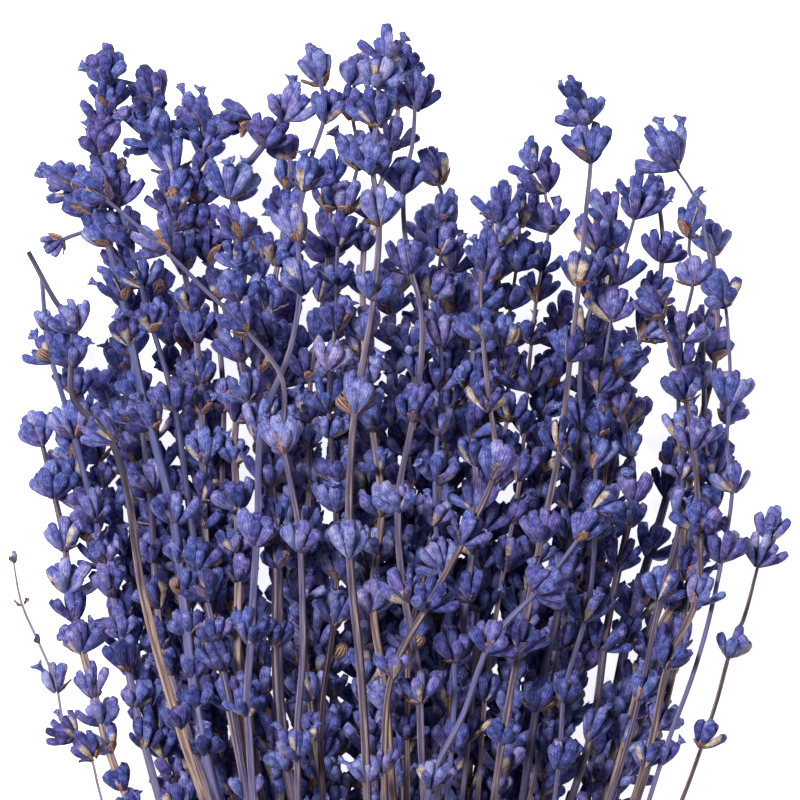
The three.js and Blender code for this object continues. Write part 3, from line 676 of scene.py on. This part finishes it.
def add_calyx(piece, root, direction, inward, size, plumpness, shade, is_front, draw):
    outline = CALYX_OUTLINE if is_front else BEHIND_OUTLINE
    sides = FRONT_CALYX_SIDES if is_front else BEHIND_CALYX_SIDES
    stops, swell = outline[:, 0], outline[:, 1]
    shrivelled = mix(*SHRIVELLED_WIDTH, draw()) if draw() < SHRIVELLED_SHARE else 1
    undyed = draw() < UNDYED_SHARE
    if undyed:
        size, plumpness = size * UNDYED_SIZE, plumpness * UNDYED_PLUMPNESS
    length = CALYX_LENGTH * size * mix(*SIZE_SCATTER, draw()) * mix(1, shrivelled, SHRIVELLED_LENGTH)
    width = CALYX_HALF_WIDTH * plumpness * size ** WIDTH_POWER * mix(*SIZE_SCATTER, draw()) * shrivelled
    half_widths = width * swell
    line = bent_line(root, direction, inward, length, mix(*CALYX_BEND, draw()), stops)
    line[:, 2] = np.maximum(line[:, 2], half_widths * CLEAR_OF_TABLE)
    side, up = across_from(direction)
    angles = np.arange(sides) * 2 * math.pi / sides
    dents = (1 + CALYX_DENTS[0] * np.sin(2 * angles + draw() * FULL_TURN)
             + CALYX_DENTS[1] * np.sin(3 * angles + draw() * FULL_TURN))
    lumps = 1 + CALYX_LUMPS * np.sin(stops * 8 + draw() * FULL_TURN)
    wrinkles = CALYX_WRINKLES * np.sin(5 * angles + 9 * stops[:, None] + 40 * length)
    ruffle = np.outer(lumps, dents) + wrinkles
    flatness = mix(*CALYX_FLATNESS, draw())
    rows = np.ones((len(stops), 1))
    rings = sleeve(line, rows * side, rows * up, half_widths, half_widths * flatness, ruffle,
                   draw() * FULL_TURN)
    teeth = np.where(np.arange(sides) % 2 == 0, CALYX_TEETH, -CALYX_TEETH) * length
    rings[-3] = rings[-3] + teeth[:, None] * direction
    # The tone is darkened toward the foot and at the mouth rim as painted shade.
    tone = shade + mix(-TONE_SCATTER, TONE_SCATTER, draw()) - FOOT_SHADE * (1 - stops) ** 3
    tone = tone - np.where(stops > MOUTH_STOP, MOUTH_SHADE, 0)
    missed = np.zeros((len(stops), sides))
    if draw() < MISSED_SHARE:
        facing = np.cos(angles + draw() * FULL_TURN)
        up_to = np.clip((mix(*MISSED_UP_TO, draw()) - stops) * MISSED_EDGE, 0, 1)
        missed = np.outer(up_to, np.clip(facing * MISSED_SIDE[0] + MISSED_SIDE[1], 0, 1))
    piece.add(rings, CALYX, (tone, undyed, missed))
    if draw() < FLOWERING_SHARE:
        add_dried_flower(piece, line[-3], direction, inward, width, draw)


def add_dried_flower(piece, mouth, direction, inward, width, draw):
    stops, swell = FLOWER_OUTLINE[:, 0], FLOWER_OUTLINE[:, 1]
    length, bend = mix(*FLOWER_LENGTH, draw()), mix(*FLOWER_BEND, draw())
    line = bent_line(mouth, direction, inward, length, bend, stops)
    side, up = across_from(direction)
    crumple = np.array([[1 + stop * mix(-FLOWER_CRUMPLE, FLOWER_CRUMPLE, draw())
                         for _ in range(FLOWER_SIDES)] for stop in stops])
    rows = np.ones((len(stops), 1))
    rings = sleeve(line, rows * side, rows * up, width * swell, width * swell * FLOWER_FLATNESS, crumple)
    rings = rings + (crumple - 1)[..., None] * direction
    rings[..., 2] = np.maximum(rings[..., 2], LEAST_HEIGHT)
    piece.add(rings, DRIED_FLOWER)


# ---------------------------------------------------------------- bracts
# Two papery bracts cup each whorl from below: broad, pointed, finely veined, and brittle when dry.
# Some took the dye and went plum; others kept the rust and tan of a dead leaf.
BRACT_LENGTH = 5.2
BRACT_HALF_WIDTH = 1.9
BRACT_THICKNESS = 0.08
BRACT_LENGTH_SCATTER = (0.7, 1.1)
BRACT_WIDTH_SCATTER = (0.75, 1.1)
BRACT_BEND = (0.15, 0.6)
BRACT_CUPPING = 0.6
BRACT_CURL = 0.4
BRACT_SIDES = 8
BRACT_OUTLINE = np.array([(0, 0.3), (0.18, 0.8), (0.42, 1.0), (0.65, 0.78), (0.85, 0.36), (1.0, 0.03)])
RUSTY_SHARE = 0.36
BROAD_SHARE = 0.2
BROAD_BY = 1.25
BRACT_VEINS = 16
BLOTCH_SIZE = 0.7

papery_bract, tree, shader = new_material("papery_dried_bract", Roughness=0.75, Specular_IOR_Level=0.2)
(rust, _, pale), grain = marks_and_grain(tree)
long_veins = grain_noise(tree, grain, 24, 6)
blotches = space_noise(tree, BLOTCH_SIZE, 3.0)
veins = weighted(tree, long_veins, 0.6, weighted(tree, blotches, 0.4, 0))
rust_colour = colours_along(tree, veins, [(0.38, "4E3A3C"), (0.5, "86665E"), (0.62, "B8967C")])
round_it = add_node(tree, "SeparateXYZ", Vector=grain).outputs["X"]
vein_angle = weighted(tree, round_it, BRACT_VEINS * 2 * math.pi, 0)
main_veins = add_node(tree, "Math", {"operation": "SINE"}, _0=vein_angle).outputs[0]
tan_colour = colours_along(tree, weighted(tree, main_veins, 0.09, veins),
                           [(0.36, "503A3A"), (0.5, "987068"), (0.62, "CCA292")])
plum_colour = colours_along(tree, veins, [(0.38, "332C50"), (0.5, "5E527C"), (0.62, "8A7EA6")])
leaf_colour = blend_colours(tree, pale, blend_colours(tree, rust, plum_colour, rust_colour), tan_colour)
tree.links.new(leaf_colour, shader.inputs["Base Color"])
roughen(tree, shader, veins, 0.2, 0.8)


def add_bract(piece, root, direction, inward, size, rust, draw):
    stops, swell = BRACT_OUTLINE[:, 0], BRACT_OUTLINE[:, 1]
    broad = BROAD_BY if draw() < BROAD_SHARE else 1
    length = BRACT_LENGTH * size * mix(*BRACT_LENGTH_SCATTER, draw())
    width = BRACT_HALF_WIDTH * size * mix(*BRACT_WIDTH_SCATTER, draw()) * broad
    line = bent_line(root, direction, inward, length, mix(*BRACT_BEND, draw()), stops)
    across = np.cross(direction, inward)
    across /= np.linalg.norm(across)
    rows = np.ones((len(stops), 1))
    rings = sleeve(line, rows * across, rows * np.cross(across, direction), width * swell,
                   np.full(len(stops), BRACT_THICKNESS), np.ones((len(stops), BRACT_SIDES)))
    from_side = np.cos(np.arange(BRACT_SIDES) * 2 * math.pi / BRACT_SIDES) ** 2
    cupping = from_side * (BRACT_CUPPING * width * swell)[:, None]
    curl = np.array([[mix(-BRACT_CURL, BRACT_CURL, draw()) * stop for _ in range(BRACT_SIDES)]
                     for stop in stops])
    rings = rings + (cupping + curl)[..., None] * inward
    rings[..., 2] = np.maximum(rings[..., 2], LEAST_HEIGHT)
    piece.add(rings, BRACT, (rust, 0, broad > 1))


# ---------------------------------------------------------------- whorls
# Calyces stand in whorls round the stalk: outer ones lean out, inner ones stand nearly upright.
# At the tip of the stem a few more close the whorl.
WHORL_ROOT = -3.0
OUTER_CALYCES = (5, 8)
INNER_CALYCES = (2, 5)
TIP_CALYCES = 3
# For each row of calyces: least and most tilt in degrees, then lowest and highest root in millimetres.
OUTER_ROW = (30, 62, -0.1, 0.4)
INNER_ROW = (10, 32, 0.4, 1.3)
TIP_ROW = (2, 14, 1.2, 2.4)
ROW_TURN = 0.9
SPACING_SCATTER = 0.22
ROOT_FROM_MIDDLE = 0.5
OPENNESS = (0.7, 1.2)
TIP_SETBACK = 2.6
SLUMP = 0.28
BUD_BELOW_SIZE = 0.5
TOO_LOW = 1.2
FLATTENED = (1, 1, 0.2)
BRACT_TILT = (40, 80)
BRACT_TURN_SCATTER = 0.5
BRACT_FROM_MIDDLE = 0.4
BRACT_BELOW = 0.3
LEAST_BRACT_SIZE = 0.5
LESS_RUSTY = (0, 0.4)
SHADE_SCATTER = 0.08
# Tone of the whorls by place across the bunch: lighter at both edges as painted light where light wraps
# round the bunch, and darker and lighter by turns in the bands between.
PALER_ACROSS_X = (-95, -62, -12, 38, 85)
PALER_BY = (0.08, -0.05, 0.06, -0.06, 0.07)


def add_whorl(piece, centre, frame_here, size, turn, is_tip, is_front, draw):
    slump = [SLUMP * mix(-1, 1, draw()) for _ in range(2)]
    along = frame_here[0] + slump[0] * frame_here[1] + slump[1] * frame_here[2]
    along /= np.linalg.norm(along)
    side, up = across_from(along)

    def lean(angle, tilt):
        outward = math.cos(angle) * side + math.sin(angle) * up
        return (math.cos(tilt) * along + math.sin(tilt) * outward,
                math.sin(tilt) * along - math.cos(tilt) * outward, outward)

    is_bud = size < BUD_BELOW_SIZE
    root_place = WHORL_ROOT - (TIP_SETBACK if is_tip else 0)
    openness = mix(*OPENNESS, draw())
    # The shade is shifted by place across the bunch, with painted light at its edges.
    shade = mix(-SHADE_SCATTER, SHADE_SCATTER, draw()) + np.interp(centre[0], PALER_ACROSS_X, PALER_BY)
    plumpness = mix(*PLUMPNESS, draw())
    rows = [(2 if is_bud else int(mix(*OUTER_CALYCES, draw())), *OUTER_ROW),
            (0 if is_bud else int(mix(*INNER_CALYCES, draw())), *INNER_ROW)]
    if is_tip:
        rows.append((1 if is_bud else TIP_CALYCES, *TIP_ROW))
    for row, (count, least, most, low, high) in enumerate(rows):
        for k in range(count):
            place = k + mix(-SPACING_SCATTER, SPACING_SCATTER, draw())
            angle = turn + row * ROW_TURN + place * 2 * math.pi / count
            tilt = math.radians(mix(least, most, draw()) * openness)
            direction, inward, outward = lean(angle, tilt)
            height = root_place + mix(low, high, draw())
            root = centre + along * height * size + outward * ROOT_FROM_MIDDLE
            if root[2] + direction[2] * CALYX_LENGTH * size < TOO_LOW:
                direction = direction * FLATTENED
                direction /= np.linalg.norm(direction)
            add_calyx(piece, root, direction, inward, size, plumpness, shade, is_front, draw)
    rust = 1.0 if draw() < RUSTY_SHARE else mix(*LESS_RUSTY, draw())
    for k in range(2):
        angle = turn + k * math.pi + mix(-BRACT_TURN_SCATTER, BRACT_TURN_SCATTER, draw())
        direction, inward, outward = lean(angle, math.radians(mix(*BRACT_TILT, draw())))
        root = centre + along * (root_place - BRACT_BELOW) * size + outward * BRACT_FROM_MIDDLE
        add_bract(piece, root, direction, inward, max(LEAST_BRACT_SIZE, size), rust, draw)


# ---------------------------------------------------------------- the stems
# Each stem grew, dried and was dyed as one; two neighbours in the tie stand for one solid of the frame.
# Stems further back carry more whorls than their solids do, which fill the bunch from behind.
COURSE_SEED_PER_LAYER = 20
LOOKS_SEED = 5000
WAVE_MM = 0.5
WAVE_LENGTH = (9, 17)
WAVE_RISE = 120
WHORL_TURN_SCATTER = 0.3
FIRST_FRONT_LAYER = 5
FILLED_UP_TO_LAYER = 7
FILLED_GAP = 9.5
DEEP_LAYERS = 5
FRONT_BARE_BELOW_Y = 232
LEFT_STALKS_SHOW_Y = (248, 294)
DEEP_GAP = 6.6
DEEP_BIGGER_BELOW_Y = 250
DEEP_SIZE = 1.25
EXTRA_SIZE = (0.7, 1.05)
LOWEST_EXTRA_WHORL_Y = (118, 172)
LOWER_EXTRA_GAP = (6, 9)
CROWDED_LEFT_OF_X = -42
CROWDED_ABOVE_Y = 326
CROWDED_GAP = 4.2
CROWDED_SIZE = 1.15
SPARSE_RIGHT_OF_X = (42, 78)
# Whorls that the photograph shows between the solids' own, by layer and place, as in SEEN_STEMS.
MORE_SEEN_WHORLS = {(5, 2): [(58, 242, 0.7)], (5, 1): [(44, 318, 0.6)], (7, 1): [(122, 200, 1.0)],
                    (6, 1): [(158, 138, 1.2)], (5, 3): [(196, 118, 0.9)]}


def extra_whorls(layer, points, line, draw):
    """Whorls in the gaps of a stem further back, and below its last one, as (index on the line, size)."""
    whorls = [p for p in points if p[3] > BUD_BELOW_SIZE]
    ys = []
    for low, high in zip(whorls, whorls[1:]):
        is_crowded = low[0] < CROWDED_LEFT_OF_X and high[1] > CROWDED_ABOVE_Y
        gap = CROWDED_GAP if is_crowded else DEEP_GAP if layer < DEEP_LAYERS else FILLED_GAP
        count = round((high[1] - low[1]) / gap)
        ys += [mix(low[1], high[1], k / count) for k in range(1, count)]
    if layer >= FIRST_FRONT_LAYER:
        is_left = whorls[0][0] < CROWDED_LEFT_OF_X
        bare_low, bare_high = LEFT_STALKS_SHOW_Y if is_left else (0, FRONT_BARE_BELOW_Y)
        ys = [y for y in ys if not bare_low < y <= bare_high]
    lowest = whorls[0][1] - mix(*LOWER_EXTRA_GAP, draw())
    last_y = mix(*LOWEST_EXTRA_WHORL_Y, draw())
    while lowest > last_y and layer < FIRST_FRONT_LAYER:
        ys.append(lowest)
        lowest -= mix(*LOWER_EXTRA_GAP, draw())
    found = []
    for y in ys:
        index = int(np.argmin(np.abs(line[:, 1] - y)))
        size = mix(*EXTRA_SIZE, draw())
        if line[index, 0] < CROWDED_LEFT_OF_X and line[index, 1] > CROWDED_ABOVE_Y:
            size *= CROWDED_SIZE
        if layer < DEEP_LAYERS and line[index, 1] < DEEP_BIGGER_BELOW_Y:
            size *= DEEP_SIZE
        found.append((index, size))
    return [(i, size) for i, size in found if draw() > np.interp(line[i, 0], SPARSE_RIGHT_OF_X, (0, 1))]


def make_stem(number, layer, place):
    points = stem_points(layer, place, seeded(layer * COURSE_SEED_PER_LAYER + place + 1))
    line, at = smooth_course(points, STALK_STEP)
    draw = seeded(LOOKS_SEED + number)
    for axis in (0, 2):
        wave = np.sin(line[:, 1] / mix(*WAVE_LENGTH, draw()) + draw() * FULL_TURN)
        line[:, axis] += WAVE_MM * wave * np.clip((line[:, 1] - BEND_Y) / WAVE_RISE, 0, 1)
    frames = frames_along(line)
    is_front = layer >= FIRST_FRONT_LAYER
    piece = Piece(f"stem_{number + 1:02d}")
    add_stalk(piece, line, frames, SEEN_STOUTNESS.get((layer, place)), is_front, draw)
    whorls = [(at[i], p[3]) for i, p in enumerate(points) if p[3] > 0]
    if layer <= FILLED_UP_TO_LAYER:
        whorls += extra_whorls(layer, points, line, draw)
    for x, y, size in seen_course(MORE_SEEN_WHORLS.get((layer, place), [])):
        whorls.append((int(np.argmin(np.hypot(line[:, 0] - x, line[:, 1] - y))), size))
    turn = draw() * FULL_TURN
    for index, size in sorted(whorls):
        turn += math.pi / 2 + mix(-WHORL_TURN_SCATTER, WHORL_TURN_SCATTER, draw())
        frame_here = [directions[index] for directions in frames]
        is_tip = index == len(line) - 1
        add_whorl(piece, line[index], frame_here, size, turn, is_tip, is_front, draw)
    stem = piece.make([dried_stalk, felted_calyx, dried_petals, papery_bract])
    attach(stem, "root")
    return stem


numbers = [(layer, place) for layer in range(LAYERS) for place in range(STEMS_IN_LAYER[layer])]
for number, (layer, place) in enumerate(numbers):
    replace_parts(make_stem(number, layer, place), f"sprigs_{number // 2 + 1:02d}")

# ---------------------------------------------------------------- the twine
# One length of three-ply jute twine goes five times round the stems and is knotted on top,
# with its two ends cut short. The fibre is undyed: straw brown, hairy and dull.
TWINE_TURNS = 5
PLIES = 3
PLY_RADIUS = 0.66
PLY_OFFSET = 0.56
PLY_SIDES = 8
PLY_END = 0.05
TWIST_LENGTH = 7.5
FRAYED_LENGTH = 3
FRAYED_BY = 0.8
TWINE_STEP = 0.7
WOUND_RADIUS = TIE_CENTRE_Z - TWINE_DIAMETER / 2
KNOT_STRETCH = (1.15, 0.8, 1.2)
KNOT_OPENING = 0.3
KNOT_POINTS = 60
TWINE_END_COURSE = np.array([(1, 0, 0.6), (5, 2, 1.6), (8.5, 4.5, 0.1), (11, 6, -2.4)])
LOOSE_HAIRS = 150
HAIR_SEED = 9000
HAIR_LENGTH = (1.5, 4)
HAIR_BEND = (0.1, 0.5)
HAIR_LEAN = 0.3
HAIR_SLANT = 0.5
HAIR_RADIUS = 0.05
HAIR_POINTS = 5
HAIRY_BAND = 5
HAIR_ROOT = 0.9
HAIR_CLEAR_OF_TABLE = 0.06

jute, tree, shader = new_material("natural_jute_twine", Roughness=0.9, Specular_IOR_Level=0.2,
                                  Sheen_Weight=0.2)
_, grain = marks_and_grain(tree)
strands = grain_noise(tree, grain, 7, 3)
jute_colour = colours_along(tree, strands, [(0.3, "6E5430"), (0.5, "A88A5C"), (0.7, "D2B888")])
tree.links.new(jute_colour, shader.inputs["Base Color"])
roughen(tree, shader, strands, 0.15, 0.9)


def add_twine(piece, line, upward, frayed=False):
    """Three plies twisted round the given line."""
    _, side, up = frames_along(line, upward)
    run = np.concatenate([[0], np.cumsum(np.linalg.norm(np.diff(line, axis=0), axis=1))])
    near_end = np.clip((run - run[-1] + FRAYED_LENGTH) / FRAYED_LENGTH, 0, 1)
    opening = near_end * (FRAYED_BY if frayed else 0)
    for ply in range(PLIES):
        angle = run / TWIST_LENGTH * 2 * math.pi + ply * 2 * math.pi / PLIES
        offset = PLY_OFFSET * (1 + opening)
        centre = line + (np.cos(angle) * offset)[:, None] * side + (np.sin(angle) * offset)[:, None] * up
        radius = PLY_RADIUS * np.where(np.arange(len(line)) % (len(line) - 1) == 0, PLY_END, 1)
        piece.add(sleeve(centre, side, up, radius, radius, np.ones((len(line), PLY_SIDES))), 0)


twine = Piece("twine")
top_z = TIE_CENTRE_Z + TIE_INNER_RADIUS + TWINE_DIAMETER
winding = np.linspace(0, 1, int(TWINE_TURNS * 2 * math.pi * WOUND_RADIUS / TWINE_STEP))
around = winding * TWINE_TURNS * 2 * math.pi + math.pi / 2
wound = np.stack([WOUND_RADIUS * np.cos(around), (winding - 0.5) * (TWINE_TURNS - 1) * TWINE_DIAMETER,
                  TIE_CENTRE_Z + WOUND_RADIUS * np.sin(around)], -1)
add_twine(twine, wound, (0, 1, 0))
t = np.linspace(KNOT_OPENING, 2 * math.pi - KNOT_OPENING, KNOT_POINTS)
knot = np.stack([np.sin(t) + 2 * np.sin(2 * t), np.cos(t) - 2 * np.cos(2 * t), -np.sin(3 * t)], -1)
add_twine(twine, knot * KNOT_STRETCH + (0, 0, top_z), (0.2, 0.3, 1))
for end_side in (-1, 1):
    course = TWINE_END_COURSE * (end_side, end_side, 1) + (0, 0, top_z)
    add_twine(twine, smooth_course(course, TWINE_STEP)[0], (0, 0.2, 1), frayed=True)
draw = seeded(HAIR_SEED)
for _ in range(LOOSE_HAIRS):
    angle = draw() * FULL_TURN
    outward = np.array([math.cos(angle), mix(-HAIR_LEAN, HAIR_LEAN, draw()), math.sin(angle)])
    tangent = np.array([-math.sin(angle), mix(-HAIR_SLANT, HAIR_SLANT, draw()), math.cos(angle)])
    tangent = tangent * (1 if draw() < 0.5 else -1)
    middle = np.array([0, mix(-HAIRY_BAND, HAIRY_BAND, draw()), TIE_CENTRE_Z])
    root = middle + (WOUND_RADIUS + HAIR_ROOT) * outward * (1, 0, 1)
    hair = bent_line(root, tangent, outward, mix(*HAIR_LENGTH, draw()), mix(*HAIR_BEND, draw()),
                     np.linspace(0, 1, HAIR_POINTS))
    hair[:, 2] = np.maximum(hair[:, 2], HAIR_CLEAR_OF_TABLE)
    _, side, up = frames_along(hair, (0.1, 1, 0.1))
    radii = np.full(HAIR_POINTS, HAIR_RADIUS)
    twine.add(sleeve(hair, side, up, radii, radii, np.ones((HAIR_POINTS, 3))), 0)
tie = twine.make([jute])
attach(tie, "root")
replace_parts(tie, "twine_tie")
